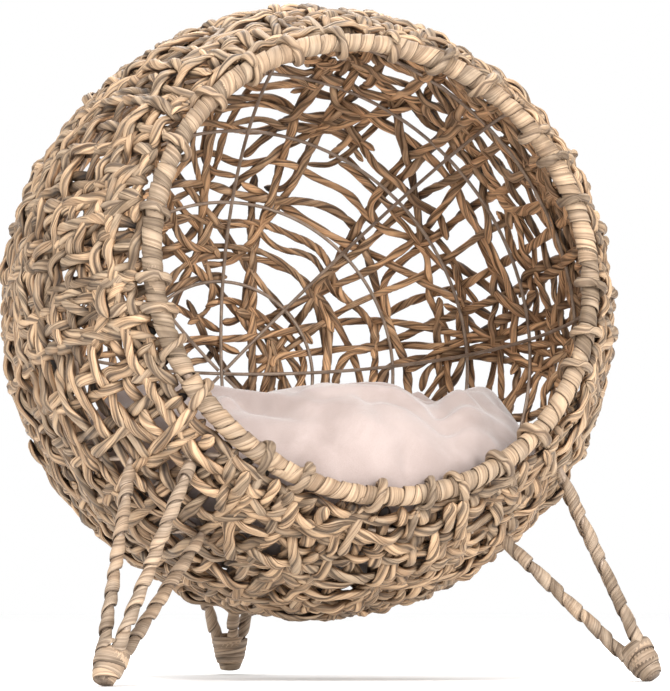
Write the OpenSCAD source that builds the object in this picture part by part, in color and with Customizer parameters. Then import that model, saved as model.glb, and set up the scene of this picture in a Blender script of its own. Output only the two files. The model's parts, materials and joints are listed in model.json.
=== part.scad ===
// Raised ball-shaped pet bed: a wire cage woven over with twisted leaf cord, on three bound legs.
// A loose cushion lies in the ball.
// The floor is z = 0 and the opening looks towards -Y. All sizes are in millimetres and degrees.

/* [Ball] */
// Outside diameter of the woven ball
ball_d = 500; // [400:5:620]
// Height of the ball's lowest point above the floor
ball_clearance = 46; // [36:1:70]
// Angle by which the opening looks up
tilt = 8; // [0:1:14]

/* [Opening] */
// Diameter of the rim, at the middle of its rod
rim_d = 358; // [290:2:400]
// Thickness of the steel rod in the rim
rim_rod_d = 8; // [6:0.5:10]
// Thickness of the rim with its leaf binding
rim_wrap_d = 18; // [16:0.5:24]

/* [Woven wall] */
// Thickness of the outer layer of cord
outer_layer = 7; // [5:0.5:10]
// Thickness of the inner layer of cord
inner_layer = 7; // [5:0.5:10]

/* [Wire cage] */
// Thickness of the cage wires
wire_d = 3; // [2:0.5:4]
// Number of hoops round the opening's axis
hoop_count = 6; // [3:1:6]
// Angle between the back of the cage and the first hoop
first_hoop = 20; // [15:1:24]
// Angle from one hoop to the next
hoop_step = 17.5; // [14:0.5:18]

/* [Legs] */
// Thickness of the steel leg rods
leg_rod_d = 6; // [4:0.5:8]
// Thickness of a leg rod with its leaf binding
leg_wrap_d = 11; // [9:0.5:13]
// Thickness of the two hoops that carry the legs
leg_hoop_d = 4; // [3:0.5:5]
// Depth of the upper leg hoop below the ball's centre
upper_hoop_drop = 125; // [100:1:150]
// Depth of the lower leg hoop below the ball's centre
lower_hoop_drop = 180; // [160:1:195]
// Distance of the front feet from the ball's axis
front_foot_reach = 286; // [240:2:340]
// Distance of the rear foot from the ball's axis
rear_foot_reach = 206; // [180:2:260]
// Angle of each front foot away from the front
front_foot_angle = 51; // [42:1:62]
// Height of the rods' lower ends above the floor, along the leg
rod_lift = 8; // [7:0.5:12]
// Gap between the three rods of a leg at their lower ends
rod_gap = 1; // [0.5:0.5:2]
// Height of the foot binding along the leg
foot_height = 30; // [28:1:40]
// Thickness of the foot binding on the floor
foot_tip_d = 18; // [17:0.5:24]
// Thickness of leaf outside the rods at the foot binding's top
foot_leaf = 2; // [1:0.5:4]

/* [Cushion] */
// Diameter of the cushion at its seam
cushion_d = 350; // [300:5:380]
// Depth of the cushion's crown below the ball's centre
crown_drop = 67; // [50:1:90]
// Thickness of the cushion's fabric
fabric = 1.5; // [1:0.5:3]

/* [Hidden] */
$fn = 96;
weld_gap = 0.1;
fit_gap = 0.3;
seat_gap = 0.5;

ball_r = ball_d / 2;
ball_z = ball_clearance + ball_r;
outer_in_r = ball_r - outer_layer;
leg_hoop_r = outer_in_r - weld_gap - leg_hoop_d / 2;
hoop_r = leg_hoop_r - leg_hoop_d / 2 - weld_gap - wire_d / 2;
rib_r = hoop_r - wire_d - weld_gap;
inner_out_r = rib_r - wire_d / 2 - weld_gap;
inner_in_r = inner_out_r - inner_layer;

// The rim rod lies on the ends of the ribs, and its angle is measured from the opening's axis.
rim_rod_offset = wire_d / 2 + weld_gap + rim_rod_d / 2;
rim_r = rib_r + rim_rod_offset;
rim_angle = asin(rim_d / 2 / rim_r);
rim_z = rim_r * cos(rim_angle);
edge_angle = rim_angle + (rim_wrap_d / 2 + fit_gap) / outer_in_r * 180 / PI;

// The origin is under the middle of the object's box, which ends at the ball's back and, in front,
// at the rim or at the front feet.
rim_front = rim_z * cos(tilt) + rim_d / 2 * sin(tilt) + rim_wrap_d / 2;
foot_front = front_foot_reach * cos(front_foot_angle) + foot_tip_d / 2;
ball_y = (max(rim_front, foot_front) - ball_r) / 2;
centre = [0, ball_y, ball_z];

rib_angles = [0, 180, 45, 135, 225, 315];
rib_names = ["right", "left", "upper_right", "upper_left", "lower_left", "lower_right"];
// Distance from the cage's back at which each rib meets the arch or its neighbours
butt_end = wire_d / 2 + weld_gap;
mitre_end = wire_d / 2 + butt_end * sqrt(2);

// Each leg has a name, a foot reach, a foot angle and three rods.
// A rod has a name, an angle, whether it ends on the upper hoop, and its place in the foot.
// Angles run from the front, seen from above, and positive is towards +X.
legs = [
    ["front_left", front_foot_reach, -front_foot_angle,
        [["front", -44, true, 30], ["side", -60, true, 150], ["lower", -49, false, 270]]],
    ["front_right", front_foot_reach, front_foot_angle,
        [["front", 53, true, 150], ["side", 80, true, 30], ["lower", 49, false, 270]]],
    ["rear", rear_foot_reach, 180,
        [["left", 197, true, 30], ["right", 166, true, 150], ["lower", 183, false, 270]]]
];

seat_r = inner_in_r - seat_gap;
crown_r = let (rise = sqrt(seat_r * seat_r - cushion_d * cushion_d / 4) - crown_drop)
    (cushion_d * cushion_d / 4 + rise * rise) / (2 * rise);

steel = [0.45, 0.42, 0.4];
leaf = [0.78, 0.66, 0.5];
leaf_dark = [0.55, 0.42, 0.3];
plush = [0.92, 0.84, 0.82];

function unit(v) = v / norm(v);
function around(reach, angle, z) = [reach * sin(angle), ball_y - reach * cos(angle), z];
function hoop_reach(drop) = sqrt(leg_hoop_r * leg_hoop_r - drop * drop);
function rod_top(rod) = let (drop = rod[2] ? upper_hoop_drop : lower_hoop_drop)
    around(hoop_reach(drop), rod[1], ball_z - drop);
function foot_tip(leg) = around(leg[1], leg[2], 0);
function leg_axis(leg) = unit((rod_top(leg[3][0]) + rod_top(leg[3][1]) + rod_top(leg[3][2])) / 3
    - foot_tip(leg));
// Place of a rod's lower end in the foot's bundle of three, square to the leg's axis
function bundle_place(leg, rod) = let (
        along = [cos(leg[2]), sin(leg[2]), 0],
        across = cross(along, leg_axis(leg)),
        side = unit(along - leg_axis(leg) * (along * leg_axis(leg)))
    )
    (leg_rod_d + rod_gap) / sqrt(3) * (side * cos(rod[3]) + unit(across) * sin(rod[3]));
function rod_toe(leg, rod) = foot_tip(leg) + leg_axis(leg) * rod_lift + bundle_place(leg, rod);
function rod_way(leg, rod) = unit(rod_top(rod) - rod_toe(leg, rod));
function rod_lean(leg, rod) = acos(rod_way(leg, rod) * leg_axis(leg));
// Point on a rod's axis at a height along the leg
function rod_point(leg, rod, height) =
    rod_toe(leg, rod) + rod_way(leg, rod) * (height - rod_lift) / cos(rod_lean(leg, rod));
function rod_spread(leg, rod, height) =
    norm(rod_point(leg, rod, height) - foot_tip(leg) - leg_axis(leg) * height);
function foot_top_r(leg) = max([for (rod = leg[3]) rod_spread(leg, rod, foot_height)])
    + leg_rod_d / 2 + foot_leaf;

// A cylinder from one point to another
module bar(from, to, d) {
    v = to - from;
    translate(from) rotate([0, acos(v[2] / norm(v)), atan2(v[1], v[0])]) cylinder(h = norm(v), d = d);
}

// Turns the opening's axis, which is +Z in the children's frame, to the way the opening looks
module in_cage() {
    translate(centre) rotate([90 - tilt, 0, 0]) children();
}

module ring(radius, d) {
    rotate_extrude() translate([radius, 0]) circle(d = d);
}

// A wire from the rim towards the cage's back, at an angle round the opening's axis
module rib(angle, span) {
    in_cage() rotate([0, 0, angle - 90]) rotate([0, -90, 0]) rotate([0, 0, rim_angle])
        rotate_extrude(angle = span) translate([rib_r, 0]) circle(d = wire_d);
}

module cage_arch() {
    color(steel) rib(90, 360 - 2 * rim_angle);
}

module cage_rib(i) {
    end = rib_angles[i] % 90 == 0 ? butt_end : mitre_end;
    color(steel) rib(rib_angles[i], 180 - rim_angle - end / rib_r * 180 / PI);
}

module cage_hoop(i) {
    angle = first_hoop + (i - 1) * hoop_step;
    color(steel) in_cage() translate([0, 0, -hoop_r * cos(angle)]) ring(hoop_r * sin(angle), wire_d);
}

module rim_rod() {
    color(steel) in_cage() translate([0, 0, rim_z]) ring(rim_d / 2, rim_rod_d);
}

// The rim's binding goes round the rod, with a slot on the wall's side for the ends of the ribs
module rim_binding() {
    slot = wire_d + 4 * weld_gap;
    color(leaf) in_cage() rotate_extrude() translate([rim_d / 2, rim_z]) rotate(90 - rim_angle)
        difference() {
            circle(d = rim_wrap_d);
            circle(d = rim_rod_d + 2 * weld_gap);
            translate([-rim_rod_offset - slot / 2, -rim_wrap_d]) square([slot, rim_wrap_d + weld_gap]);
        }
}

// Half the section of a layer of the woven wall, open towards the rim
module layer_section(outside, inside) {
    far = 2 * ball_r;
    intersection() {
        difference() {
            circle(r = outside);
            circle(r = inside);
        }
        polygon([[0, 0], [far * sin(edge_angle), far * cos(edge_angle)], [far, -far], [0, -far]]);
    }
}

module weave_outer() {
    color(leaf) difference() {
        in_cage() rotate_extrude() layer_section(ball_r, outer_in_r);
        for (leg = legs, rod = leg[3]) {
            beyond = rod_top(rod) + rod_way(leg, rod) * leg_wrap_d;
            bar(rod_toe(leg, rod), beyond, leg_rod_d + 2 * fit_gap);
        }
    }
}

module weave_inner() {
    color(leaf_dark) in_cage() rotate_extrude() layer_section(inner_out_r, inner_in_r);
}

// The upper leg hoop would cross the opening, so it stops short of the rim's binding
module leg_hoop(drop) {
    stop_angle = rim_angle + (rim_wrap_d + leg_hoop_d + 2 * fit_gap) / 2 / leg_hoop_r * 180 / PI;
    reach = hoop_reach(drop);
    start_cos = (leg_hoop_r * cos(stop_angle) + drop * sin(tilt)) / (reach * cos(tilt));
    start = start_cos < 1 ? acos(start_cos) : 0;
    color(steel) translate([0, ball_y, ball_z - drop])
        if (start > 0)
            rotate([0, 0, start - 90]) rotate_extrude(angle = 360 - 2 * start)
                translate([reach, 0]) circle(d = leg_hoop_d);
        else
            ring(reach, leg_hoop_d);
}

// A leg rod, from the foot to its hoop
module leg_rod(leg, rod) {
    color(steel) difference() {
        bar(rod_toe(leg, rod), rod_top(rod), leg_rod_d);
        translate(centre) sphere(r = leg_hoop_r + leg_hoop_d / 2 + weld_gap / 2);
    }
}

// A leg rod's binding, from the top of the foot to the ball's outside
module leg_binding(leg, rod) {
    start = foot_height + fit_gap + leg_wrap_d / 2 * sin(rod_lean(leg, rod));
    color(leaf) difference() {
        bar(rod_point(leg, rod, start), rod_top(rod), leg_wrap_d);
        bar(rod_toe(leg, rod), rod_top(rod) + rod_way(leg, rod), leg_rod_d + 2 * weld_gap);
        translate(centre) sphere(r = ball_r + fit_gap);
    }
}

// The binding that ties a leg's rods together, cut flat on the floor
module foot_binding(leg) {
    tip = foot_tip(leg);
    axis = leg_axis(leg);
    below = foot_tip_d / 2;
    top_r = foot_top_r(leg);
    low_r = foot_tip_d / 2 - (top_r - foot_tip_d / 2) / foot_height * below;
    color(leaf) difference() {
        translate(tip - axis * below) rotate([0, acos(axis[2]), atan2(axis[1], axis[0])])
            rotate(90) cylinder(h = below + foot_height, r1 = low_r, r2 = top_r);
        for (rod = leg[3]) {
            start = rod_toe(leg, rod) - rod_way(leg, rod) * weld_gap;
            bar(start, rod_top(rod), leg_rod_d + 2 * weld_gap);
        }
        translate([tip[0] - ball_r, tip[1] - ball_r, -ball_r]) cube([ball_d, ball_d, ball_r]);
    }
}

// The ball that the cushion's upper face lies on, less a thickness
module crown_ball(less) {
    translate(centre - [0, 0, crown_drop + crown_r]) sphere(r = crown_r - less);
}

// The ball that the cushion's underside lies on, less a thickness
module seat_ball(less) {
    translate(centre) sphere(r = seat_r - less);
}

module cushion_top_panel() {
    color(plush) difference() {
        intersection() {
            crown_ball(0);
            seat_ball(0);
        }
        crown_ball(fabric);
    }
}

module cushion_bottom_panel() {
    color(plush) difference() {
        intersection() {
            crown_ball(fabric);
            seat_ball(0);
        }
        seat_ball(fabric);
    }
}

module cushion_filling() {
    color("white") intersection() {
        crown_ball(fabric);
        seat_ball(fabric);
    }
}

rim_rod();
rim_binding();
cage_arch();
for (i = [0 : len(rib_names) - 1])
    cage_rib(i);
for (i = [1 : hoop_count])
    cage_hoop(i);
leg_hoop(upper_hoop_drop);  // leg_hoop_upper
leg_hoop(lower_hoop_drop);  // leg_hoop_lower
weave_outer();
weave_inner();
for (leg = legs, rod = leg[3]) {
    leg_rod(leg, rod);
    leg_binding(leg, rod);
}
for (leg = legs)
    foot_binding(leg);
cushion_top_panel();
cushion_bottom_panel();
cushion_filling();
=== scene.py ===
"""Looks for a ball-shaped wicker pet bed: a woven wall, a bound rim, bound legs, wire and a cushion.

All lengths are in metres. The ball's place, the rim, the legs and the cushion come from the CAD frame.
"""

import json
import math
from collections import namedtuple

import bmesh
import bpy
import numpy as np
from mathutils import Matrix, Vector
from mathutils.kdtree import KDTree


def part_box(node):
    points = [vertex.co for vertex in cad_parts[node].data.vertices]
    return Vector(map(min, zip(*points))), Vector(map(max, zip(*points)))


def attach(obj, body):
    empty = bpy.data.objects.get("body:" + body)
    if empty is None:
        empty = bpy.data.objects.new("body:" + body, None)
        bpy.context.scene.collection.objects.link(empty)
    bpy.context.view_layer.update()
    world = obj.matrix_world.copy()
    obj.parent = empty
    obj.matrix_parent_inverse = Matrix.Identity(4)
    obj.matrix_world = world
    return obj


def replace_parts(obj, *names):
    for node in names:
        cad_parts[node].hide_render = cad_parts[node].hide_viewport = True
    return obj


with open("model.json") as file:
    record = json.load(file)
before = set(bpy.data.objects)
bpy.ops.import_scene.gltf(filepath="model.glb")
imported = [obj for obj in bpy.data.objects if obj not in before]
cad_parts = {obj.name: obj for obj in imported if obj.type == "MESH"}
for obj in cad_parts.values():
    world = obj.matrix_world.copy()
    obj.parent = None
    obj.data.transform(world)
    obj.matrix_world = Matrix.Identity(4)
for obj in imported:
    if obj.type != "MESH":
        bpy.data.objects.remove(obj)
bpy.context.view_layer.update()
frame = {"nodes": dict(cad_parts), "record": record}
BODY = "basket"
FULL_TURN = 2 * np.pi

# ---------- Places that the frame gives ----------


def mesh_points(thing):
    """An object's vertices as an array."""
    co = np.empty(len(thing.data.vertices) * 3)
    thing.data.vertices.foreach_get("co", co)
    return co.reshape(-1, 3)


def node_points(node):
    """A CAD node's vertices as an array."""
    return mesh_points(frame["nodes"][node])


def unit(v):
    """v with length 1, along its last axis."""
    v = np.asarray(v, float)
    return v / np.linalg.norm(v, axis=-1, keepdims=True)


def along_and_off(points, origin, way):
    """How far along a line from its origin points lie, and how far off the line."""
    from_origin = points - origin
    along = from_origin @ way
    return along, np.linalg.norm(from_origin - np.outer(along, way), axis=1)


ball_low, ball_high = (np.array(c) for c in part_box("weave_outer"))
BALL_R = (ball_high[0] - ball_low[0]) / 2
CENTRE = np.array([0.0, ball_high[1] - BALL_R, ball_high[2] - BALL_R])

# AXIS runs from the ball's centre out through the opening, and RIGHT and UP are square to it
rim_points = node_points("rim_rod")
RIM_CENTRE = (rim_points.min(0) + rim_points.max(0)) / 2
AXIS = unit(RIM_CENTRE - CENTRE)
RIGHT = np.array([1.0, 0.0, 0.0])
UP = np.cross(AXIS, RIGHT)
_, rim_reach = along_and_off(rim_points, RIM_CENTRE, AXIS)
RIM_R = (rim_reach.min() + rim_reach.max()) / 2
_, binding_reach = along_and_off(node_points("rim_binding"), RIM_CENTRE, AXIS)
RIM_WRAP_R = (binding_reach.max() - binding_reach.min()) / 2
RIM_POLAR = math.atan2(RIM_R, np.linalg.norm(RIM_CENTRE - CENTRE))


def aside(turn):
    """Ways square to AXIS, at angles round it."""
    return np.cos(turn)[..., None] * RIGHT + np.sin(turn)[..., None] * UP


def towards(polar, turn):
    """Unit directions from the ball's centre, at angles from AXIS and round it."""
    polar, turn = np.broadcast_arrays(polar, turn)
    return np.cos(polar)[..., None] * AXIS + np.sin(polar)[..., None] * aside(turn)


def rim_at(turn):
    """Points on the rim's centre line and the ways out from AXIS there."""
    out = aside(turn)
    return RIM_CENTRE + RIM_R * out, out


# ---------- Tubes, which strands and wound strips are made of ----------

# A tube of n rings of m points. rings is (n, m, 3). fibre, also (n, m, 3), holds coordinates along the
# leaf. tone is one number. The last field, (n, m), is 1 where shade is painted on, in creases and at edges.
Tube = namedtuple("Tube", "rings fibre tone groove")

# The number of quads at which a piece is full
PIECE_QUADS = 85000

# Unwrapped tubes lie end to end in rows. These are the spare area, the share of a row's height that a
# tube fills, the gap after a tube as a share of its girth, and the margin at the ends of the rows.
UV_SPARE = 1.05
UV_FILL = 0.94
UV_GAP = 0.1
UV_MARGIN = 1.03


def girth_of(rings):
    """The longest way round a tube."""
    return np.linalg.norm(rings - np.roll(rings, 1, axis=1), axis=2).sum(1).max()


def steps_of(points):
    """The distances from each point of a path to the next."""
    return np.linalg.norm(np.diff(points, axis=0), axis=1)


def run_of(steps):
    """The length walked at each point of a path."""
    return np.concatenate([[0], np.cumsum(steps)])


def tube_faces(n, m):
    """Vertex numbers of a tube's quads and of its two end faces."""
    i, j = np.meshgrid(np.arange(n - 1), np.arange(m), indexing="ij")
    k = (j + 1) % m
    quads = np.stack([i * m + j, i * m + k, (i + 1) * m + k, (i + 1) * m + j], -1)
    return quads.reshape(-1, 4), np.arange(m)[::-1], (n - 1) * m + np.arange(m)


def tube_uv(steps, m, walked, side, girth):
    """UVs of the corners of a tube's quads and of its two end faces, in rows of length side."""
    at = walked + run_of(steps)[:-1]
    row = np.floor(at / side)
    x = (at - row * side)[:, None] + np.zeros(m)
    y = (row * girth)[:, None] + np.arange(m) * girth * UV_FILL / m
    wide, high = steps[:, None] + np.zeros(m), girth * UV_FILL / m
    quads = np.stack([x, y, x, y + high, x + wide, y + high, x + wide, y], -1)
    first, last = (np.stack([x[end], y[end]], -1) for end in (0, -1))
    return quads.reshape(-1, 2), first[::-1], last


def set_attribute(mesh, name, kind, arrays):
    """Keeps arrays, one for each tube, as a point attribute."""
    attribute = mesh.attributes.new(name, kind, "POINT")
    field = "vector" if kind == "FLOAT_VECTOR" else "value"
    values = np.concatenate([array.ravel() for array in arrays])
    attribute.data.foreach_set(field, values.astype(np.float32))


def tube_object(name, tubes, material):
    """One mesh object of the tubes, with their ends closed."""
    girth = max(girth_of(tube.rings) for tube in tubes)
    total = sum(steps_of(tube.rings.mean(1)).sum() + girth_of(tube.rings) * UV_GAP for tube in tubes)
    side = math.sqrt(total * girth * UV_SPARE)
    corners, sizes, uv = [], [], []
    base, walked = 0, 0.0
    for tube in tubes:
        n, m, _ = tube.rings.shape
        quads, first, last = tube_faces(n, m)
        corners += [base + quads.ravel(), base + first, base + last]
        sizes += [4] * len(quads) + [m, m]
        steps = steps_of(tube.rings.mean(1))
        uv += tube_uv(steps, m, walked, side, girth)
        walked += steps.sum() + girth * UV_GAP
        base += n * m
    span = max(side * UV_MARGIN, girth * (math.floor(walked / side) + 1))
    corners = np.concatenate(corners)

    mesh = bpy.data.meshes.new(name)
    mesh.vertices.add(base)
    mesh.vertices.foreach_set("co", np.concatenate([tube.rings.ravel() for tube in tubes]))
    mesh.loops.add(len(corners))
    mesh.loops.foreach_set("vertex_index", corners.astype(np.int32))
    mesh.polygons.add(len(sizes))
    mesh.polygons.foreach_set("loop_start", run_of(sizes)[:-1].astype(np.int32))
    mesh.polygons.foreach_set("use_smooth", np.ones(len(sizes), bool))
    mesh.update(calc_edges=True)
    layer = mesh.uv_layers.new(name="OFBake")
    layer.data.foreach_set("uv", (np.concatenate(uv) / span).astype(np.float32).ravel())
    set_attribute(mesh, "fibre", "FLOAT_VECTOR", [tube.fibre for tube in tubes])
    set_attribute(mesh, "tone", "FLOAT", [np.full(tube.groove.shape, tube.tone) for tube in tubes])
    set_attribute(mesh, "groove", "FLOAT", [tube.groove for tube in tubes])
    mesh.validate()
    mesh.materials.append(material)
    piece = bpy.data.objects.new(name, mesh)
    bpy.context.scene.collection.objects.link(piece)
    return piece


def build_pieces(name, tubes, material):
    """Pieces of up to about PIECE_QUADS quads made of the tubes given, on the basket."""
    groups, group, quads = [], [], 0
    for tube in tubes:
        group.append(tube)
        quads += tube.groove.size
        if quads > PIECE_QUADS:
            groups.append(group)
            group, quads = [], 0
    if group:
        groups.append(group)
    built = []
    for k, group in enumerate(groups):
        piece = tube_object(f"{name}_{k + 1}" if len(groups) > 1 else name, group, material)
        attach(piece, BODY)
        built.append(piece)
    return built


# The sum of count waves swings by about WAVE_SWING * sqrt(count), and WAVE_ROOM keeps it under about 1
WAVE_SWING = 0.75
WAVE_ROOM = 1.2


def waves(rng, s, shortest, longest, count=3):
    """A smooth random curve along s, about -1 to 1, with waves between two lengths."""
    out = np.zeros_like(s)
    for _ in range(count):
        length = rng.uniform(shortest, longest)
        out += np.sin(FULL_TURN * (s / length + rng.random())) * rng.uniform(0.5, 1.0)
    return out / (WAVE_SWING * count**0.5 * WAVE_ROOM)


def fibre_offset(rng):
    """A shift that gives each tube its own stretch of leaf."""
    return rng.uniform(0, 5, 3)


# Radial shares round a twisted strand's section, for strands of two and of three leaves. The lowest is
# the crease between two leaves.
LOBES = {
    2: np.array([0.76, 0.96, 1.03, 1.07, 1.03, 0.96] * 2),
    3: np.array([0.78, 1.01, 1.06, 1.01] * 3),
}
# Points of the section under this share lie in the crease and get painted shade
CREASE_BELOW = 0.9
# The shares of strands that have two leaves and that twist to the right, and the length of one turn
TWO_LEAVES = 0.55
RIGHT_HANDED = 0.7
TWIST_LENGTHS = (0.045, 0.11)
TWIST_UNEVEN = 0.5
STRAND_SWELL = 0.13
STRAND_FLATNESS = 0.70
TAPER = 0.006
END_WIDTH = 0.25


def strand_tube(rng, path, outward, width, tone):
    """A twisted strand along a path, its flat side outward."""
    s = run_of(steps_of(path))
    tangent = unit(np.gradient(path, axis=0))
    side = unit(np.cross(tangent, outward))
    lift = np.cross(side, tangent)
    lobes = LOBES[2 if rng.random() < TWO_LEAVES else 3]
    corner = FULL_TURN * np.arange(len(lobes)) / len(lobes)
    hand = 1 if rng.random() < RIGHT_HANDED else -1
    twist = hand * FULL_TURN * s / rng.uniform(*TWIST_LENGTHS) + waves(rng, s, 0.03, 0.09) * TWIST_UNEVEN
    angle = twist[:, None] + corner
    swell = 1 + STRAND_SWELL * waves(rng, s, 0.018, 0.06, 4)
    ends = np.clip(np.minimum(s, s[-1] - s) / TAPER, 0, 1)
    swell = swell * (END_WIDTH + (1 - END_WIDTH) * np.sqrt(ends))
    radius = (width / 2 * swell)[:, None] * lobes
    along_side = radius * np.sin(angle)
    along_lift = radius * np.cos(angle) * STRAND_FLATNESS
    rings = path[:, None] + along_side[..., None] * side[:, None] + along_lift[..., None] * lift[:, None]
    core = np.mean(width) / 2
    untwisted = corner + np.zeros((len(s), 1))
    run = s[:, None] + np.zeros(len(lobes))
    fibre = np.stack([np.cos(untwisted) * core, np.sin(untwisted) * core, run], -1)
    fibre += fibre_offset(rng)
    # Painted shade in the creases between the leaves
    groove = (lobes < CREASE_BELOW).astype(float) + np.zeros((len(s), 1))
    return Tube(rings, fibre, tone, groove)


# Points round a wound strip's section, and rings along one turn
STRIP_SIDES = 12
STRIP_RINGS = 22
FEWEST_RINGS = 12
# How far its place, width and thickness wander, as shares of pitch, width and thickness
PLACE_WANDER = 0.16
WIDTH_WANDER = 0.16
THICKNESS_WANDER = 0.25
# The height and number of its fine ridges, the lift of one edge over the turn before, and its slant
RIDGE = 0.07
RIDGES = 13.0
EDGE_LIFT = 1.1
LIFT_MIDDLE = 0.55
SLANT = 0.5
# The cosine past which a point of the section is on the strip's edge, where shade is painted on
EDGE_FROM = 0.95


def wound_strip(rng, line, core, start, end, pitch, width, thickness, phase=0.0):
    """A leaf strip wound round a line from start to end.

    line gives, at a length along it, the point there and two ways square to it. core gives the radius
    that the strip lies at.
    """
    turns = (end - start) / pitch
    count = max(int(turns * STRIP_RINGS), FEWEST_RINGS)
    a = np.linspace(0, FULL_TURN * turns, count)
    place = start + pitch * a / FULL_TURN + PLACE_WANDER * pitch * waves(rng, a, 4.0, 14.0, 4)
    place = np.clip(place, start, end)
    wide = width * (1 + WIDTH_WANDER * waves(rng, a, 5.0, 16.0, 3))
    thick = thickness * (1 + THICKNESS_WANDER * waves(rng, a, 4.0, 12.0, 3))
    corner = FULL_TURN * np.arange(STRIP_SIDES) / STRIP_SIDES
    x = np.cos(corner) * (wide / 2)[:, None]
    y = np.sin(corner) * (thick / 2)[:, None]
    y = y + RIDGE * thickness * np.cos(x / width * RIDGES + phase) * (np.sin(corner) > 0)
    lift = (LIFT_MIDDLE - x / wide[:, None]) * EDGE_LIFT * thickness
    s = np.clip(place[:, None] + x, start, end)
    slant = a[:, None] + phase + x / width * SLANT
    centre, across, up = line(s)
    out = np.cos(slant)[..., None] * across + np.sin(slant)[..., None] * up
    rings = centre + (core(s) + lift + y)[..., None] * out
    run = a * core(np.array([(start + end) / 2]))[0]
    fibre = np.stack([x, y, run[:, None] + np.zeros_like(s)], -1)
    fibre += fibre_offset(rng)
    # Painted shade on the strip's edges, where one turn meets the next
    groove = (np.abs(np.cos(corner)) > EDGE_FROM).astype(float) + np.zeros((count, 1))
    return Tube(rings, fibre, rng.random(), groove)


# ---------- Materials ----------


def new_material(name, roughness, **constants):
    """A material, and helpers that add a node to it and link a socket to its shader.

    Constants are set on the shader's own sockets.
    """
    material = bpy.data.materials.new(name)
    material.use_nodes = True
    tree = material.node_tree
    shader = tree.nodes["Principled BSDF"]
    shader.inputs["Roughness"].default_value = roughness
    for socket, value in constants.items():
        shader.inputs[socket.replace("_", " ")].default_value = value

    def add(kind, inputs=None, **settings):
        made = tree.nodes.new("ShaderNode" + kind)
        for key, value in settings.items():
            setattr(made, key, value)
        for key, value in (inputs or {}).items():
            socket = made.inputs[key]
            if isinstance(value, bpy.types.NodeSocket):
                tree.links.new(value, socket)
            else:
                socket.default_value = value
        return made

    def link(output, socket):
        tree.links.new(output, shader.inputs[socket])

    return material, add, link


def noise(add, place, scale, detail, roughness=0.5, distortion=0.0):
    """Noise over a place, scale to the metre."""
    inputs = {"Vector": place, "Scale": scale, "Detail": detail, "Roughness": roughness}
    return add("TexNoise", {**inputs, "Distortion": distortion}).outputs["Fac"]


def maths(add, operation, a, b):
    return add("Math", {0: a, 1: b}, operation=operation).outputs[0]


def rescale(add, value, low, high, to_low=0.0, to_high=1.0):
    """value, with the range from low to high stretched to another and held there."""
    inputs = {"Value": value, "From Min": low, "From Max": high, "To Min": to_low, "To Max": to_high}
    return add("MapRange", inputs).outputs[0]


def ramp(add, factor, stops):
    """A colour ramp through (place, colour) stops."""
    made = add("ValToRGB", {"Fac": factor})
    elements = made.color_ramp.elements
    while len(elements) < len(stops):
        elements.new(0.5)
    for element, (place, colour) in zip(elements, stops):
        element.position = place
        element.color = (*colour, 1)
    return made.outputs["Color"]


def mix(add, factor, a, b, blend="MIX"):
    """a mixed with b. Each is a socket or a colour."""
    a, b = ((*c, 1) if isinstance(c, tuple) else c for c in (a, b))
    return add("Mix", {0: factor, 6: a, 7: b}, data_type="RGBA", blend_type=blend).outputs[2]


def bump(add, height, strength, distance):
    return add("Bump", {"Height": height, "Strength": strength, "Distance": distance}).outputs[0]


# Painted shade and light from deep in the wall, 0, to its surface, 1: near black deep in it and lighter than
# the leaf at its surface. And painted light, a little warm, that brightens the faces that look into the ball
PAINTED_DEPTH_SHADE_AND_LIGHT = [(0.12, (0.035, 0.021, 0.012)), (0.54, (0.48, 0.42, 0.36)), (0.88, (1.2, 1.2, 1.2))]
PAINTED_INSIDE_LIGHT = (1.60, 1.43, 1.27)
# Depths in the wall for the painted shade and light: faces that look out go from dark at OUTER_DARK to
# light at SHALLOW, and faces that look in from dark at SHALLOW to light at INNER_LIGHT
SHALLOW = 0.001
OUTER_DARK = 0.0125
INNER_LIGHT = 0.012


def paint_wall_shade_and_light(add, colour):
    """colour with painted shade deep in the wall, painted light at its surface and on faces that look in."""
    here = add("NewGeometry")
    inputs = {0: here.outputs["Position"], 1: tuple(CENTRE)}
    from_centre = add("VectorMath", inputs, operation="SUBTRACT").outputs[0]
    reach = add("VectorMath", {0: from_centre}, operation="LENGTH").outputs["Value"]
    away = add("VectorMath", {0: from_centre}, operation="NORMALIZE").outputs[0]
    inputs = {0: away, 1: here.outputs["Normal"]}
    facing = add("VectorMath", inputs, operation="DOT_PRODUCT").outputs["Value"]
    inward = rescale(add, facing, 0.40, -0.35)
    outer = rescale(add, reach, BALL_R - OUTER_DARK, BALL_R - SHALLOW)
    inner = rescale(add, reach, BALL_R - SHALLOW, BALL_R - INNER_LIGHT)
    near = add("Mix", {0: inward, 2: outer, 3: inner}, data_type="FLOAT").outputs[0]
    # Painted shade deep in the wall and painted light near its surface
    colour = mix(add, 1.0, colour, ramp(add, near, PAINTED_DEPTH_SHADE_AND_LIGHT), "MULTIPLY")
    # Painted light, a little warm, on the faces that look into the ball
    return mix(add, inward, colour, PAINTED_INSIDE_LIGHT, "MULTIPLY")


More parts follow.
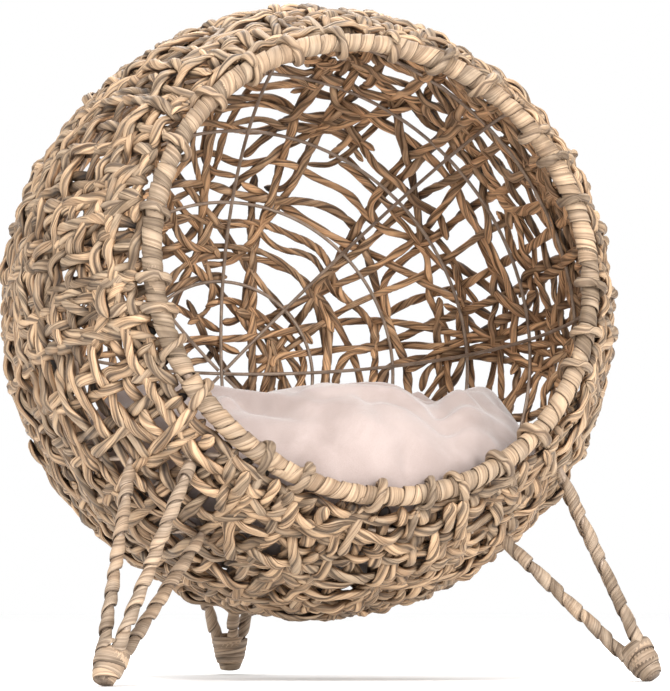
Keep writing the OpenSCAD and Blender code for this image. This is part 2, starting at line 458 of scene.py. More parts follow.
def leaf_material(name, honey, grey, dark, contrast, with_wall_shade_and_light=False):
    """Dried twisted leaf: fine streaks along the fibres, strands of different tones, and shade painted into
    the creases.

    contrast is how dark the lines between the fibres are.
    """
    material, add, link = new_material(name, 0.62, Specular_IOR_Level=0.32)
    fibre = add("Attribute", attribute_name="fibre").outputs["Vector"]
    tone = add("Attribute", attribute_name="tone").outputs["Fac"]
    groove = add("Attribute", attribute_name="groove").outputs["Fac"]
    long_way = add("VectorMath", {0: fibre, 1: (1.0, 1.0, 0.035)}, operation="MULTIPLY").outputs[0]
    patchy = add("VectorMath", {0: fibre, 1: (0.5, 0.5, 0.45)}, operation="MULTIPLY").outputs[0]
    streaks = noise(add, long_way, 620.0, 5.0, 0.62)
    coarse = noise(add, long_way, 330.0, 2.0)
    patches = noise(add, patchy, 70.0, 3.0, 0.55)
    hue = maths(add, "ADD", rescale(add, patches, 0.38, 0.64), tone)
    hue = maths(add, "MULTIPLY", hue, 0.5)
    brown = tuple(c * 0.50 for c in honey)
    light = tuple(c * 1.22 for c in honey)
    colour = ramp(add, hue, [(0.10, brown), (0.32, grey), (0.58, honey), (0.90, light)])
    lines = ramp(add, streaks, [(0.36, (0.20, 0.15, 0.11)), (0.50, (1.0, 1.0, 1.0))])
    colour = mix(add, contrast, colour, lines, "MULTIPLY")
    bands = ramp(add, coarse, [(0.36, (0.55, 0.50, 0.46)), (0.58, (1.06, 1.05, 1.03))])
    colour = mix(add, 0.9, colour, bands, "MULTIPLY")
    # Painted shade: the creases and strip edges are mixed towards the dark colour
    colour = mix(add, maths(add, "MULTIPLY", groove, 0.82), colour, dark)
    # In the wall the leaf also gets painted shade by depth and painted light on the faces that look in
    if with_wall_shade_and_light:
        colour = paint_wall_shade_and_light(add, colour)
    link(colour, "Base Color")
    link(rescale(add, streaks, 0.0, 1.0, 0.72, 0.50), "Roughness")
    link(bump(add, maths(add, "ADD", streaks, coarse), 0.55, 0.0008), "Normal")
    return material


def steel_material():
    """Dull drawn wire with faint marks and brownish spots."""
    material, add, link = new_material("wire_steel", 0.5, Metallic=0.35)
    place = add("NewGeometry").outputs["Position"]
    marks = noise(add, place, 900.0, 4.0)
    spots = noise(add, place, 60.0, 5.0, 0.7)
    link(ramp(add, spots, [(0.35, (0.19, 0.13, 0.09)), (0.62, (0.35, 0.265, 0.20))]), "Base Color")
    link(rescale(add, marks, 0.0, 1.0, 0.36, 0.62), "Roughness")
    link(bump(add, marks, 0.25, 0.0003), "Normal")
    return material


def plush_material():
    """Short soft pile laid different ways, with its sheen painted in as lighter and darker patches."""
    material, add, link = new_material(
        "cushion_plush", 0.95, Sheen_Weight=0.45, Sheen_Roughness=0.45, Specular_IOR_Level=0.15
    )
    place = add("NewGeometry").outputs["Position"]
    pile = noise(add, place, 1400.0, 3.0, 0.7)
    # Painted sheen: lighter and darker patches where the pile lies different ways
    pile_sheen_patches = noise(add, place, 16.0, 4.0, distortion=1.2)
    colour = ramp(add, pile_sheen_patches, [(0.36, (0.295, 0.236, 0.215)), (0.62, (0.36, 0.293, 0.270))])
    tips = ramp(add, pile, [(0.30, (0.86, 0.84, 0.83)), (0.60, (1.0, 1.0, 1.0))])
    link(mix(add, 0.7, colour, tips, "MULTIPLY"), "Base Color")
    link(bump(add, maths(add, "ADD", pile_sheen_patches, pile), 0.35, 0.0012), "Normal")
    return material


# The third colour of each leaf is the shade painted into its creases and onto its strip edges
LEAF = leaf_material(
    "leaf", (0.362, 0.247, 0.152), (0.276, 0.204, 0.138), (0.025, 0.014, 0.008), 0.95, with_wall_shade_and_light=True
)
RIM_LEAF = leaf_material("rim_leaf", (0.362, 0.258, 0.169), (0.308, 0.230, 0.160), (0.07, 0.042, 0.026), 0.6)
LEG_LEAF = leaf_material("leg_leaf", (0.375, 0.272, 0.186), (0.315, 0.24, 0.175), (0.05, 0.03, 0.02), 0.65)
STEEL = steel_material()
PLUSH = plush_material()


# ---------- The woven wall ----------

RING_STEP = 0.0028
FEWEST_POINTS = 8
STRAND_WIDTH = 0.0091
WIDTH_RANGE = (0.82, 1.18)
WALL_R = BALL_R - 0.0068
EDGE_POLAR = RIM_POLAR + 0.036
WEAVE_REACH = 0.0052
# From the angle BACK_FROM off AXIS, and over a further BACK_OVER, the sides' weave becomes the back's
BACK_FROM, BACK_OVER = math.radians(82), math.radians(50)
BACK_NARROWER = 0.27

weave_rng = np.random.default_rng(11)


def back_share(polar):
    """0 on the sides of the ball and 1 on its back."""
    t = np.clip((polar - BACK_FROM) / BACK_OVER, 0, 1)
    return t * t * (3 - 2 * t)


class Strand:
    """A strand's directions from the ball's centre, its widths and where it would lie by itself."""

    def __init__(self, directions, width, lie=0.0):
        self.directions = directions
        polar = np.arccos(np.clip(directions @ AXIS, -1, 1))
        self.width = width * (1 - BACK_NARROWER * back_share(polar))
        self.lie = lie
        self.height = np.zeros(len(directions))


def lengths(total):
    """Lengths along a strand, a ring apart."""
    return np.linspace(0, total, max(int(total / RING_STEP), FEWEST_POINTS))


def strand_width(rng):
    return STRAND_WIDTH * rng.uniform(*WIDTH_RANGE)


HOOP_FIRST = EDGE_POLAR + 0.03
HOOP_LAST = math.radians(172)
# A stretch's length, the most of a full turn that it takes, and how far the next one overlaps it
HOOP_LENGTHS = (0.22, 0.62)
HOOP_MOST = 0.97
HOOP_OVERLAP = 0.02
HOOP_OFF_EDGE = 0.004
# The distance to the next hoop in degrees, the drift and the waves: on the sides, and what the back adds
HOOP_GAP, HOOP_GAP_BACK = 3.7, 3.6
HOOP_GAP_RANGE = (0.86, 1.14)
HOOP_DRIFT, HOOP_DRIFT_BACK = 0.016, 0.030
HOOP_WAVE, HOOP_WAVE_BACK = 0.0042, 0.0035


def hoop_strands(rng):
    """Strands that run round the opening, in stretches that drift and overlap."""
    strands, polar = [], HOOP_FIRST
    while polar < HOOP_LAST:
        radius = WALL_R * math.sin(polar)
        back = back_share(polar)
        turn, full = rng.uniform(0, FULL_TURN), 0.0
        while full < FULL_TURN:
            total = min(rng.uniform(*HOOP_LENGTHS), FULL_TURN * radius * HOOP_MOST)
            s = lengths(total)
            drift = rng.uniform(-1, 1) * (HOOP_DRIFT + HOOP_DRIFT_BACK * back) * (s / total - 0.5)
            wave = waves(rng, s, 0.06, 0.24, 4) * (HOOP_WAVE + HOOP_WAVE_BACK * back)
            path_polar = np.maximum(polar + (drift + wave) / WALL_R, EDGE_POLAR + HOOP_OFF_EDGE)
            strands.append(Strand(towards(path_polar, turn + s / radius), strand_width(rng)))
            gone = (total - HOOP_OVERLAP) / radius
            turn += gone
            full += gone
        polar += math.radians(HOOP_GAP + HOOP_GAP_BACK * back) * rng.uniform(*HOOP_GAP_RANGE)
    return strands


RIBS = 108
# A rib ends between two angles from AXIS, in degrees: those of the first number here that doesn't divide
# its own number. Every eighth rib goes furthest.
RIB_ENDS = ((2, (88, 116)), (4, (126, 150)), (8, (148, 160)))
EIGHTH_RIB_ENDS = (164, 174)
# How far a rib is off its even place, as a share of the gap, where it starts from the edge, the length
# that turns aside at its end, and how far it leans and waves
RIB_SHIFT = 0.3
RIB_STARTS = (-0.01, 0.02)
RIB_TURNED = (0.02, 0.05)
RIB_LEAN = 0.03
RIB_WAVE = 0.0052
RIB_SMOOTHINGS = 40


def rib_strands(rng):
    """Strands that run from the rim to the back of the ball and turn aside there, fewer near the back."""
    strands = []
    for k in range(RIBS):
        turn = FULL_TURN * (k + rng.uniform(-RIB_SHIFT, RIB_SHIFT)) / RIBS
        ends = next((ends for number, ends in RIB_ENDS if k % number), EIGHTH_RIB_ENDS)
        last = math.radians(rng.uniform(*ends))
        first = EDGE_POLAR + rng.uniform(*RIB_STARTS)
        down = (last - first) * WALL_R
        s = lengths(down + rng.uniform(*RIB_TURNED))
        polar = first + np.minimum(s, down) / WALL_R
        sideways = rng.choice([-1, 1]) * np.maximum(s - down, 0)
        sideways = sideways + rng.uniform(-RIB_LEAN, RIB_LEAN) * s / down
        wave = waves(rng, s, 0.07, 0.26, 4) * RIB_WAVE
        path = towards(polar, turn + (wave + sideways) / (WALL_R * np.sin(polar)))
        for _ in range(RIB_SMOOTHINGS):
            path[1:-1] = (path[:-2] + path[2:]) / 2
        strands.append(Strand(unit(path), strand_width(rng)))
    return strands


# Strands at odd angles: how many, their shortest and longest, how far out they lie, and the directions
# from the ball's centre where they may start
STRAYS = (
    (50, 0.12, 0.36, 0.0012, lambda d: d @ AXIS > -0.6),
    (30, 0.12, 0.36, 0.0004, lambda d: d @ AXIS < -0.40),
    (56, 0.08, 0.26, 0.0016, lambda d: d[2] < -0.30),
    (34, 0.08, 0.24, 0.0016, lambda d: d @ AXIS > -0.15),
)
STRAY_OFF_EDGE = 0.08
STRAY_BEND = 5.0
STRAY_CURVE = 2.5
FEWEST_STRAY_POINTS = 16


def stray_strands(rng, count, shortest, longest, lie, wanted):
    """Strands laid at odd angles. wanted says whether a strand may start in a direction."""
    strands = []
    while len(strands) < count:
        here = unit(rng.normal(size=3))
        if here @ AXIS > math.cos(EDGE_POLAR + STRAY_OFF_EDGE) or not wanted(here):
            continue
        heading = unit(np.cross(here, rng.normal(size=3)))
        s = lengths(rng.uniform(shortest, longest))
        bend = waves(rng, s, 0.08, 0.3, 3) * STRAY_BEND + rng.uniform(-STRAY_CURVE, STRAY_CURVE)
        path = []
        for curve in bend:
            path.append(here)
            here = unit(here + heading * RING_STEP / WALL_R)
            heading = unit(heading - here * (heading @ here))
            heading = unit(heading + np.cross(here, heading) * curve * RING_STEP)
            if here @ AXIS > math.cos(EDGE_POLAR):
                break
        if len(path) > FEWEST_STRAY_POINTS:
            strands.append(Strand(np.array(path), strand_width(rng), lie * rng.choice([1, 1, -1])))
    return strands


def touching_pairs(strands, reach):
    """Points on different strands that lie over each other, how far apart, and each point's strand."""
    directions = np.concatenate([s.directions for s in strands])
    owner = np.repeat(np.arange(len(strands)), [len(s.directions) for s in strands])
    tree = KDTree(len(directions))
    for k, d in enumerate(directions):
        tree.insert(d * WALL_R, k)
    tree.balance()
    first, second, apart = [], [], []
    for k, d in enumerate(directions):
        for _, other, distance in tree.find_range(d * WALL_R, reach):
            if owner[other] > owner[k]:
                first.append(k)
                second.append(other)
                apart.append(distance)
    return np.array(first), np.array(second), np.array(apart), owner


# Pairs of two strands that lie further apart than this number of points are two crossings
CROSSING_POINTS = 9
MISPLACED = 0.20


def over_or_under(rng, first, second, owner):
    """1 where the first strand of a pair passes over, else -1: one choice for each crossing, in turns."""
    key = owner[first].astype(np.int64) * (owner.max() + 1) + owner[second]
    order = np.lexsort((first, key))
    jump = np.diff(first[order], prepend=first[order][0]) > CROSSING_POINTS
    fresh = np.diff(key[order], prepend=-1) != 0
    crossing = np.cumsum(jump | fresh)
    starts = np.flatnonzero(np.diff(crossing, prepend=0))
    a, b = first[order][starts], second[order][starts]
    signs = np.zeros(len(starts))
    last = {}
    for c in np.argsort(a, kind="stable"):
        wish = -last.get(owner[a[c]], rng.choice([-1, 1])) + last.get(owner[b[c]], 0)
        sign = np.sign(wish) if wish else rng.choice([-1, 1])
        if rng.random() < MISPLACED:
            sign = -sign
        signs[c] = sign
        last[owner[a[c]]], last[owner[b[c]]] = sign, -sign
    out = np.empty(len(first))
    out[order] = signs[crossing - 1]
    return out


SETTLE_ROUNDS = 140
TOUCH_REACH = STRAND_WIDTH * 1.02
# How closely crossing strands press together, and the share of each fault that a round mends
PRESSED = 0.93
PUSH_APART = 0.5
STRAIGHTEN = 0.55
PULL_BACK = 0.02
HEIGHT_LIMIT = WEAVE_REACH + 0.003


def settle(rng, strands):
    """Gives every strand a height along its length, so that crossing strands pass over and under."""
    first, second, apart, owner = touching_pairs(strands, TOUCH_REACH)
    counts = [len(s.directions) for s in strands]
    offsets = np.concatenate([[0], np.cumsum(counts)])
    sign = over_or_under(rng, first, second, owner)
    half = np.concatenate([s.width / 2 for s in strands])
    lie = np.repeat([s.lie for s in strands], counts)
    room = half[first] + half[second]
    gap = np.sqrt(np.maximum(room**2 - apart**2, 0)) * STRAND_FLATNESS * PRESSED
    height = lie.copy()
    total = len(height)
    inner = np.ones(total, bool)
    inner[offsets[:-1]] = False
    inner[offsets[1:] - 1] = False
    inner = np.flatnonzero(inner)
    for _ in range(SETTLE_ROUNDS):
        short = np.maximum(gap - sign * (height[first] - height[second]), 0) * sign
        push = np.bincount(first, short, total) - np.bincount(second, short, total)
        weight = np.bincount(first, short != 0, total) + np.bincount(second, short != 0, total)
        height += PUSH_APART * push / np.maximum(weight, 1)
        bend = np.zeros(total)
        bend[inner] = (height[inner - 1] + height[inner + 1]) / 2 - height[inner]
        height += STRAIGHTEN * bend
        height += PULL_BACK * (lie - height)
        height = np.clip(height, -HEIGHT_LIMIT, HEIGHT_LIMIT)
    for strand, start, end in zip(strands, offsets[:-1], offsets[1:]):
        strand.height = height[start:end]


TUCK_POINTS = 7
TUCK_FADE = 1.5
TUCK_DEPTHS = (0.0015, 0.004)
LOOSE_ENDS = 0.13
LOOSE_HEIGHTS = (0.002, 0.0045)


def tuck(rng, strand):
    """Takes a strand's ends into the wall, or lets a cut end stand a little out of it."""
    n = len(strand.height)
    k = min(TUCK_POINTS, n // 3)
    fade = (np.arange(k)[::-1] / k) ** TUCK_FADE
    for span in (slice(0, k), slice(n - k, n)):
        rise = rng.uniform(*LOOSE_HEIGHTS) if rng.random() < LOOSE_ENDS else -rng.uniform(*TUCK_DEPTHS)
        strand.height[span] += rise * (fade if span.start == 0 else fade[::-1])


def weave(rng):
    """All the strands of the wall, settled."""
    families = {
        "weave_hoop_strands": hoop_strands(rng),
        "weave_rib_strands": rib_strands(rng),
        "weave_stray_strands": [strand for kind in STRAYS for strand in stray_strands(rng, *kind)],
    }
    strands = [strand for family in families.values() for strand in family]
    settle(rng, strands)
    for strand in strands:
        tuck(rng, strand)
    return families


wall_pieces = []
for family_name, family in weave(weave_rng).items():
    tubes = []
    for strand in family:
        path = CENTRE + strand.directions * (WALL_R + strand.height)[:, None]
        tubes.append(strand_tube(weave_rng, path, strand.directions, strand.width, weave_rng.random()))
    wall_pieces += build_pieces(family_name, tubes, LEAF)
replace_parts(wall_pieces[0], "weave_outer", "weave_inner")

# ---------- The rim: lashings from the wall and the binding ----------

LASHINGS = 26
LASHING_SHIFT = 0.35
LASHING_WIDTHS = (0.72, 0.95)
LASHING_SUNK = 0.0006
LASHING_PROUD = 0.34
# The lengths that it runs over the wall before and after the rim, and how far it goes on round the rim
LASHING_RUNS_OUT = (0.02, 0.05)
LASHING_RUNS_IN = (0.012, 0.03)
LASHING_ADVANCES = (0.03, 0.075)
# The angles round the rim's rod, from the way out, that a lashing lies over
ROUND_RIM = np.radians([-55, 235])
ROUND_RIM_POINTS = 26
# Its two ends in the wall: points, angle from the edge, share of the advance, and depth
LASHING_START = (10, 0.02, 0.3, 0.004)
LASHING_END = (8, 0.03, 0.2, 0.010)
PATH_SMOOTHINGS = 3


def smooth_path(points):
    """The path through points, rounded and evenly stepped."""
    points = np.array(points)
    for _ in range(PATH_SMOOTHINGS):
        points[1:-1] = (points[:-2] + 2 * points[1:-1] + points[2:]) / 4
    s = run_of(steps_of(points))
    even = np.linspace(0, s[-1], int(s[-1] / RING_STEP) + 2)
    return np.stack([np.interp(even, s, points[:, k]) for k in range(3)], -1)


def lashing(rng, turn):
    """A strand that comes up from the wall, goes once round the rim and back into the wall."""
    width = STRAND_WIDTH * rng.uniform(*LASHING_WIDTHS)
    loop = RIM_WRAP_R - LASHING_SUNK + width * LASHING_PROUD
    run_out, run_in = rng.uniform(*LASHING_RUNS_OUT), rng.uniform(*LASHING_RUNS_IN)
    round_rim = np.linspace(*ROUND_RIM, ROUND_RIM_POINTS)
    advance = rng.uniform(*LASHING_ADVANCES) * rng.choice([-1, 1])
    turns = turn + advance * np.linspace(0, 1, ROUND_RIM_POINTS)
    base, out = rim_at(turns)
    loop_points = base + loop * (np.cos(round_rim)[:, None] * out + np.sin(round_rim)[:, None] * AXIS)
    count, off_edge, share, depth = LASHING_START
    polar = EDGE_POLAR + off_edge + run_out / WALL_R * np.linspace(1, 0, count)
    before = CENTRE + towards(polar, turn - advance * share) * (BALL_R - depth)
    count, off_edge, share, depth = LASHING_END
    polar = EDGE_POLAR + off_edge + run_in / WALL_R * np.linspace(0, 1, count)
    after = CENTRE + towards(polar, turns[-1] + advance * share) * (WALL_R - depth)
    return smooth_path(np.concatenate([before, loop_points, after])), width


lashing_tubes = []
for k in range(LASHINGS):
    shift = weave_rng.uniform(-LASHING_SHIFT, LASHING_SHIFT)
    path, width = lashing(weave_rng, FULL_TURN * (k + shift) / LASHINGS)
    outward = unit(path - RIM_CENTRE)
    lashing_tubes.append(strand_tube(weave_rng, path, outward, width, weave_rng.random()))
build_pieces("rim_lashings", lashing_tubes, RIM_LEAF)

rim_rng = np.random.default_rng(5)
RIM_STRIPS = 14
RIM_STRIP_THICKNESS = 0.0018
RIM_STRIP_INSET = RIM_STRIP_THICKNESS * 2.1
RIM_PITCHES = (0.0098, 0.0135)
# A strip's width as a share of its pitch, and its length as a share of its stretch of the rim
RIM_STRIP_WIDTH = 1.42
RIM_STRIP_LENGTH = 1.25


def rim_line(s):
    """The rim's centre line at lengths along it, and two ways square to it."""
    centre, out = rim_at(s / RIM_R)
    return centre, out, np.broadcast_to(AXIS, out.shape)


def constant_radius(core):
    """The same radius at every length."""
    return lambda s: np.full(np.shape(s), core)


rim_length = FULL_TURN * RIM_R
rim_tubes = []
for k in range(RIM_STRIPS):
    start = rim_length * (k + rim_rng.uniform(-0.2, 0.2)) / RIM_STRIPS
    end = start + rim_length / RIM_STRIPS * RIM_STRIP_LENGTH
    core = constant_radius(RIM_WRAP_R - RIM_STRIP_INSET + rim_rng.uniform(-0.0005, 0.0005))
    pitch = rim_rng.uniform(*RIM_PITCHES)
    size = (pitch, pitch * RIM_STRIP_WIDTH, RIM_STRIP_THICKNESS)
    rim_tubes.append(wound_strip(rim_rng, rim_line, core, start, end, *size))
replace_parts(build_pieces("rim_strips", rim_tubes, RIM_LEAF)[0], "rim_binding")

# ---------- The legs ----------

leg_rng = np.random.default_rng(23)
LEG_RODS = {
    "front_left": ("front", "side", "lower"),
    "front_right": ("front", "side", "lower"),
    "rear": ("left", "right", "lower"),
}
# The furthest round its rod that a strip starts
LAST_PHASE = 6.28
LEG_PITCHES = (0.015, 0.019)
LEG_STRIP_WIDTH = 1.3
LEG_STRIP_THICKNESS = 0.0022
LEG_STRIP_INSET = LEG_STRIP_THICKNESS * 1.45
LEG_INTO_FOOT = 0.004
LEG_INTO_WALL = 0.004
# A foot's two strips: pitch, width and thickness, where the upper one starts as a share of the foot's
# height, and how far over the foot each ends
FOOT_STRIP = (0.0098, 0.0138, 0.0020)
UPPER_STRIP_FROM = 0.35
FOOT_STRIP_ENDS = (0.001, 0.004)
# A foot's radius at its tip and its bulge, and how far under its surface the strips lie
FOOT_TIP_R = 0.0062
FOOT_BULGE = 0.0016
FOOT_INSET = 0.0034
FOOT_SOLE = 0.0045
# The plug that closes a foot between its strips
PLUG_R = 0.01
PLUG_TONE = 0.3
# How far the plug between the strips is mixed towards the painted shade
PLUG_PAINTED_SHADE = 0.5
PLUG_SOLE = 0.004
PLUG_TOP = 0.001
PLUG_RINGS = 12
PLUG_PROUD = 0.0012
ABOVE_FLOOR = 0.0004


def rod_line(node):
    """The low end and the high end of a straight rod's axis."""
    points = node_points(node)
    middle = points.mean(0)
    way = np.linalg.svd(points - middle, full_matrices=False)[2][0]
    way = way * np.sign(way[2])
    along = (points - middle) @ way
    return middle + way * along.min(), middle + way * along.max()


def line_frame(low, high):
    """The way along a line and two ways square to it."""
    way = unit(high - low)
    across = unit(np.cross(way, [0.0, 1.0, 0.15]))
    return way, across, np.cross(way, across)


def strip_on_line(rng, low, high, core, start, end, *size):
    """A leaf strip wound round the line from low to high."""
    way, across, up = line_frame(low, high)

    def line(s):
        shape = (*np.shape(s), 3)
        return low + s[..., None] * way, np.broadcast_to(across, shape), np.broadcast_to(up, shape)

    return wound_strip(rng, line, core, start, end, *size, phase=rng.uniform(0, LAST_PHASE))


def wall_distance(low, way, radius):
    """The length along a line from low at which it meets a ball about CENTRE."""
    off = low - CENTRE
    middle = -(off @ way)
    return middle - math.sqrt(middle**2 - off @ off + radius**2)


def leg_strip(rng, node, low, high):
    """The strip wound round one leg rod, from its binding's low end to the wall."""
    way = unit(high - low)
    binding_low, binding_high = rod_line(node)
    start = (binding_low - low) @ way - LEG_INTO_FOOT
    end = wall_distance(low, way, BALL_R - LEG_INTO_WALL)
    _, off = along_and_off(node_points(node), binding_low, unit(binding_high - binding_low))
    core = constant_radius(off.max() - LEG_STRIP_INSET)
    pitch = rng.uniform(*LEG_PITCHES)
    size = (pitch, pitch * LEG_STRIP_WIDTH, LEG_STRIP_THICKNESS)
    return strip_on_line(rng, low, high, core, start, end, *size)


def foot_tubes(rng, node, tip, top):
    """Two strips wound round a foot and the plug under them, from its tip towards the rods' tops."""
    way, across, up = line_frame(tip, top)
    along, off = along_and_off(node_points(node), tip, way)
    foot_height = along.max()
    top_r = off[along > foot_height - 1e-4].max()

    def foot_radius(s):
        share = np.clip(s / foot_height, 0, 1)
        bulge = FOOT_BULGE * np.sin(np.pi * np.clip(share * 1.1, 0, 1))
        return FOOT_TIP_R + (top_r - FOOT_TIP_R) * share**0.85 + bulge - FOOT_INSET

    tubes = []
    for start, over in zip((FOOT_SOLE, foot_height * UPPER_STRIP_FROM), FOOT_STRIP_ENDS):
        end = foot_height + over
        tubes.append(strip_on_line(rng, tip, top, foot_radius, start, end, *FOOT_STRIP))
    s = np.linspace(PLUG_SOLE, foot_height - PLUG_TOP, PLUG_RINGS)[:, None] + np.zeros(STRIP_SIDES)
    a = FULL_TURN * np.arange(STRIP_SIDES) / STRIP_SIDES + np.zeros_like(s)
    ring = np.cos(a)[..., None] * across + np.sin(a)[..., None] * up
    rings = tip + s[..., None] * way + (foot_radius(s) + PLUG_PROUD)[..., None] * ring
    fibre = np.stack([np.cos(a) * PLUG_R, np.sin(a) * PLUG_R, s], -1)
    # The plug gets painted shade at that share
    tubes.append(Tube(rings, fibre, PLUG_TONE, np.full(s.shape, PLUG_PAINTED_SHADE)))
    for tube in tubes:
        tube.rings[..., 2] = np.maximum(tube.rings[..., 2], ABOVE_FLOOR)
    return tubes


for leg, rods in LEG_RODS.items():
    binding_nodes = [f"{leg}_leg_binding_{rod}" for rod in rods]
    lines = [rod_line(f"{leg}_leg_rod_{rod}") for rod in rods]
    tubes = [leg_strip(leg_rng, node, *line) for node, line in zip(binding_nodes, lines)]
    piece = build_pieces(f"{leg}_leg_strips", tubes, LEG_LEAF)[0]
    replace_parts(piece, *binding_nodes)

    foot = f"{leg}_foot_binding"
    tip = np.array(next(m for m in frame["record"]["mounts"] if m["name"] == f"{leg}_foot")["pos_m"])
    top = np.mean([high for _, high in lines], axis=0)
    tubes = foot_tubes(leg_rng, foot, tip, top)
    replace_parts(build_pieces(f"{leg}_foot_strips", tubes, LEG_LEAF)[0], foot)

# ---------- The cushion ----------

CUSHION_RINGS = 40
CUSHION_SIDES = 120
seam_low, seam_high = (np.array(c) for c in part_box("cushion_bottom_panel"))
CROWN_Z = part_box("cushion_top_panel")[1].z
SEAT_R = CENTRE[2] - seam_low[2]
SEAM_R = (seam_high[0] - seam_low[0]) / 2
SEAM_Z = seam_high[2] + 0.020
CUSHION_MIDDLE = (seam_low + seam_high)[:2] / 2
# The cushion's reach as a share of SEAM_R, and how much less it is at the opening
SIDE_REACH = 1.10
OPENING_REACH_LOSS = 0.125
# How far the unpuffed crown is under the CAD's, and the underside over the seat
CROWN_DROP = 0.013
SEAT_GAP = 0.001
VOXEL = 0.0055
PUFF_FRAMES = 20
PUFF_LIMIT = 0.007
# The most that the finished cushion may reach from the ball's centre, and over the CAD's crown
CUSHION_BALL_R = BALL_R - 0.0205
CROWN_PROUD = 0.009
UPPER_SOFTNESS = 0.012


def seat_height(reach):
    """Height of the ball's seat at a distance from its middle."""
    return CENTRE[2] - math.sqrt(SEAT_R**2 - reach**2)


def pillow_height(depth, share):
    """Height of a well filled top with full shoulders, 0 at share 1."""
    return depth * math.sqrt(max(1 - share**14, 0))


def cushion_shape():
    """A closed form that fills the seat, fuller at the sides and the back than at the opening."""
    bm = bmesh.new()
    rows = []
    for k in range(1, 2 * CUSHION_RINGS):
        on_top = k <= CUSHION_RINGS
        share = math.sin((k if on_top else 2 * CUSHION_RINGS - k) / CUSHION_RINGS * np.pi / 2)
        row = []
        for a in FULL_TURN * np.arange(CUSHION_SIDES) / CUSHION_SIDES:
            opening = ((1 - math.sin(a)) / 2) ** 4
            reach = SEAM_R * (SIDE_REACH - OPENING_REACH_LOSS * opening) * share
            if on_top:
                z = SEAM_Z + pillow_height(CROWN_Z - CROWN_DROP - SEAM_Z, share)
            else:
                z = min(seat_height(reach) + SEAT_GAP, SEAM_Z - SEAT_GAP)
            x, y = CUSHION_MIDDLE + reach * np.array([math.cos(a), math.sin(a)])
            row.append(bm.verts.new((x, y, z)))
        rows.append(row)
    for upper_row, lower_row in zip(rows, rows[1:]):
        for j in range(CUSHION_SIDES):
            bm.faces.new((upper_row[j], lower_row[j], lower_row[j - 1], upper_row[j - 1]))
    bm.faces.new(rows[0])
    bm.faces.new(rows[-1][::-1])
    bmesh.ops.recalc_face_normals(bm, faces=bm.faces)
    mesh = bpy.data.meshes.new("cushion")
    bm.to_mesh(mesh)
    bm.free()
    piece = bpy.data.objects.new("cushion", mesh)
    bpy.context.scene.collection.objects.link(piece)
    return piece


def apply_modifiers(piece):
    bpy.context.view_layer.objects.active = piece
    for other in bpy.context.selected_objects:
        other.select_set(False)
    piece.select_set(True)
    for modifier in list(piece.modifiers):
        bpy.ops.object.modifier_apply(modifier=modifier.name)


def set_points(piece, co):
    piece.data.vertices.foreach_set("co", co.ravel())
    piece.data.update()


def remesh(piece):
    """Remakes a piece's mesh as even quads."""
    modifier = piece.modifiers.new("remesh", "REMESH")
    modifier.mode = "VOXEL"
    modifier.voxel_size = VOXEL
    apply_modifiers(piece)


def puff(piece):
    """Blows the piece up as cloth, and lets no point move more than PUFF_LIMIT."""
    slim = mesh_points(piece)
    cloth = piece.modifiers.new("cloth", "CLOTH")
    cloth.settings.quality = 5
    cloth.settings.mass = 0.3
    cloth.settings.use_pressure = True
    cloth.settings.uniform_pressure_force = 4.0
    cloth.settings.shrink_min = -0.06
    cloth.settings.bending_stiffness = 0.3
    cloth.settings.effector_weights.gravity = 0.0
    cloth.point_cache.frame_start = 1
    cloth.point_cache.frame_end = PUFF_FRAMES
    for number in range(1, PUFF_FRAMES + 1):
        bpy.context.scene.frame_set(number)
    apply_modifiers(piece)
    bpy.context.scene.frame_set(1)
    move = mesh_points(piece) - slim
    far = np.linalg.norm(move, axis=1, keepdims=True)
    set_points(piece, slim + move * np.minimum(1, PUFF_LIMIT / np.maximum(far, 1e-9)))


def round_off(piece):
    """Evens the piece's surface and gives it four times the faces."""
    smooth = piece.modifiers.new("even", "SMOOTH")
    smooth.factor = 0.5
    smooth.iterations = 3
    piece.modifiers.new("round", "SUBSURF").levels = 1
    apply_modifiers(piece)


# Places and sizes as shares of SEAM_R about the cushion's middle, and heights and depths in metres.
# A hump's x, y, size and height
HUMPS = (
    (-0.80, -0.10, 0.40, 0.017),
    (0.20, 0.30, 0.45, 0.011),
    (0.85, 0.00, 0.40, 0.012),
    (0.25, -0.45, 0.40, 0.007),
    (-0.30, -0.45, 0.38, 0.006),
)
# A fold's angle, distance from the middle, place along itself, length, depth and width
FOLDS = (
    (1.92, 0.60, 0.0, 1.30, 0.0120, 0.100),
    (1.92, -0.22, 0.3, 1.00, 0.0060, 0.200),
    (0.50, 0.30, 0.2, 0.50, 0.0060, 0.040),
    (1.90, -0.18, -0.2, 0.60, 0.0058, 0.034),
    (2.60, 0.42, 0.1, 0.45, 0.0058, 0.036),
    (-0.40, -0.52, 0.1, 0.50, 0.0050, 0.036),
    (1.20, 0.55, -0.1, 0.40, 0.0058, 0.030),
    (0.10, -0.20, -0.3, 0.50, 0.0058, 0.034),
    (-0.90, 0.25, 0.3, 0.45, 0.0058, 0.030),
    (0.80, -0.75, 0.0, 0.40, 0.0058, 0.032),
    (-0.15, -0.80, 0.2, 0.40, 0.0058, 0.034),
)
HUMP_SPREAD = 0.6
# How far a fold wanders and how often, and the lip beside it: its height and its place in fold widths
FOLD_WANDER, FOLD_BENDS = 0.06, 5
FOLD_LIP, FOLD_LIP_AT = 0.55, 1.7


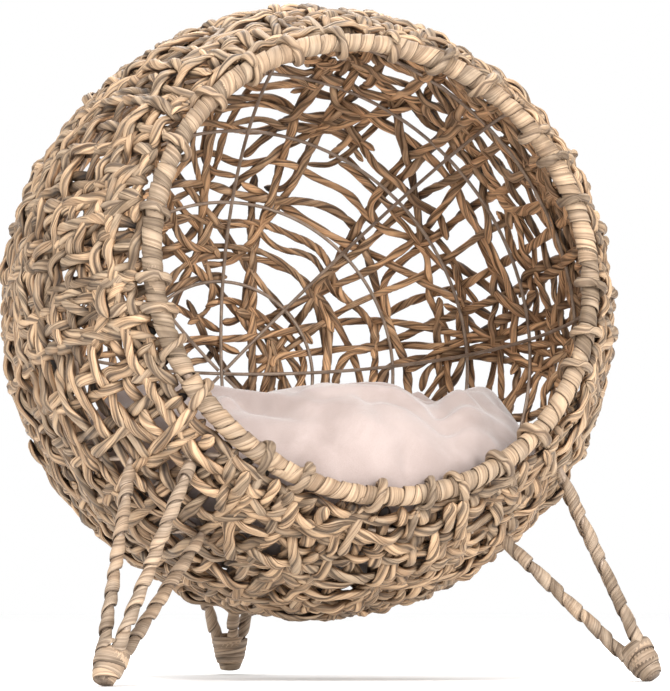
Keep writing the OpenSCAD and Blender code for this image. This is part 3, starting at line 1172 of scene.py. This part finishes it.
def humps_and_folds(co):
    """Broad humps and folds of a stuffed cushion, in metres, along Z."""
    x, y = ((co[:, :2] - CUSHION_MIDDLE) / SEAM_R).T
    rise = np.zeros(len(co))
    for at_x, at_y, size, height in HUMPS:
        rise += height * np.exp(-((x - at_x) ** 2 + (y - at_y) ** 2) / (2 * (size * HUMP_SPREAD) ** 2))
    for angle, offset, middle, long, depth, wide in FOLDS:
        along = x * math.cos(angle) - y * math.sin(angle)
        wander = FOLD_WANDER * np.sin(FOLD_BENDS * along)
        across = x * math.sin(angle) + y * math.cos(angle) + wander - offset
        lip = FOLD_LIP * np.exp(-((across / wide - FOLD_LIP_AT) ** 2))
        fold = np.exp(-((across / wide) ** 2)) - lip
        rise -= depth * fold * np.exp(-(((along - middle) / long) ** 4))
    return rise


def lay_in_seat(co):
    """Points with the humps and folds on the upper side, kept inside the ball and near the crown."""
    upper = 1 / (1 + np.exp(-(co[:, 2] - SEAM_Z) / UPPER_SOFTNESS))
    co[:, 2] += humps_and_folds(co) * upper
    off = co - CENTRE
    reach = np.linalg.norm(off, axis=1)
    co = CENTRE + off * (np.minimum(reach, CUSHION_BALL_R) / reach)[:, None]
    co[:, 2] = np.minimum(co[:, 2], CROWN_Z + CROWN_PROUD)
    return co


cushion = cushion_shape()
remesh(cushion)
puff(cushion)
round_off(cushion)
set_points(cushion, lay_in_seat(mesh_points(cushion)))
cushion.data.materials.append(PLUSH)
cushion.data.polygons.foreach_set("use_smooth", np.ones(len(cushion.data.polygons), bool))
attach(cushion, "cushion")
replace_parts(cushion, "cushion_top_panel", "cushion_bottom_panel", "cushion_filling")

# ---------- The steel that stays as the frame has it ----------

for thing in frame["nodes"].values():
    if not thing.hide_render:
        thing.data.materials.clear()
        thing.data.materials.append(STEEL)

# ---------- Floor, light and camera ----------

# Each light's name, place, width and power
LIGHTS = (
    ("key", (-1.5, -2.3, 2.6), 1.0, 105),
    ("fill", (2.2, -2.6, 0.9), 1.6, 25),
    ("front", (0.15, -3.0, 0.75), 0.8, 62),
    ("top", (0.2, 0.5, 2.8), 1.2, 40),
    ("back", (0.5, 2.6, 2.7), 1.2, 45),
)
FLOOR_SIZE = 60
# The way from the camera to the ball's centre and the way it looks, each turned from +Y and raised
VIEW_TURN, VIEW_RISE = math.radians(19.3), math.radians(5.5)
AIM_TURN, AIM_RISE = math.radians(19.8), math.radians(4.9)
CAMERA_DISTANCE = 10 * BALL_R
CAMERA_LENS = 160.0
CAMERA_SENSOR = 36.0


def add_floor():
    bpy.ops.mesh.primitive_plane_add(size=FLOOR_SIZE, location=(0, 0, 0))
    floor = bpy.context.object
    floor.name = "floor"
    material, add, link = new_material("pale_floor", 0.9, Specular_IOR_Level=0.1)
    cloudy = noise(add, add("NewGeometry").outputs["Position"], 2.0, 2.0)
    link(ramp(add, cloudy, [(0.3, (0.985, 0.985, 0.985)), (0.7, (1.0, 1.0, 1.0))]), "Base Color")
    floor.data.materials.append(material)


def add_area(name, place, size, power):
    """A round light that faces the ball's centre."""
    light = bpy.data.lights.new(name, "AREA")
    light.shape = "DISK"
    light.size = size
    light.energy = power
    lamp = bpy.data.objects.new(name, light)
    lamp.location = place
    lamp.rotation_euler = (Vector(CENTRE) - Vector(place)).to_track_quat("-Z", "Y").to_euler()
    bpy.context.scene.collection.objects.link(lamp)


def add_world():
    world = bpy.data.worlds.new("studio")
    world.use_nodes = True
    background = world.node_tree.nodes["Background"]
    background.inputs["Color"].default_value = (1, 1, 1, 1)
    background.inputs["Strength"].default_value = 1.0
    bpy.context.scene.world = world


def way_ahead(turn, rise):
    """The way turned from +Y towards +X and raised."""
    return Vector((math.sin(turn) * math.cos(rise), math.cos(turn) * math.cos(rise), math.sin(rise)))


def add_camera():
    camera = bpy.data.objects.new("camera", bpy.data.cameras.new("camera"))
    camera.data.lens = CAMERA_LENS
    camera.data.sensor_width = CAMERA_SENSOR
    camera.location = Vector(CENTRE) - way_ahead(VIEW_TURN, VIEW_RISE) * CAMERA_DISTANCE
    camera.rotation_euler = way_ahead(AIM_TURN, AIM_RISE).to_track_quat("-Z", "Y").to_euler()
    bpy.context.scene.collection.objects.link(camera)
    bpy.context.scene.camera = camera


add_floor()
add_world()
for light in LIGHTS:
    add_area(*light)
add_camera()
bpy.context.scene.view_settings.view_transform = "Standard"
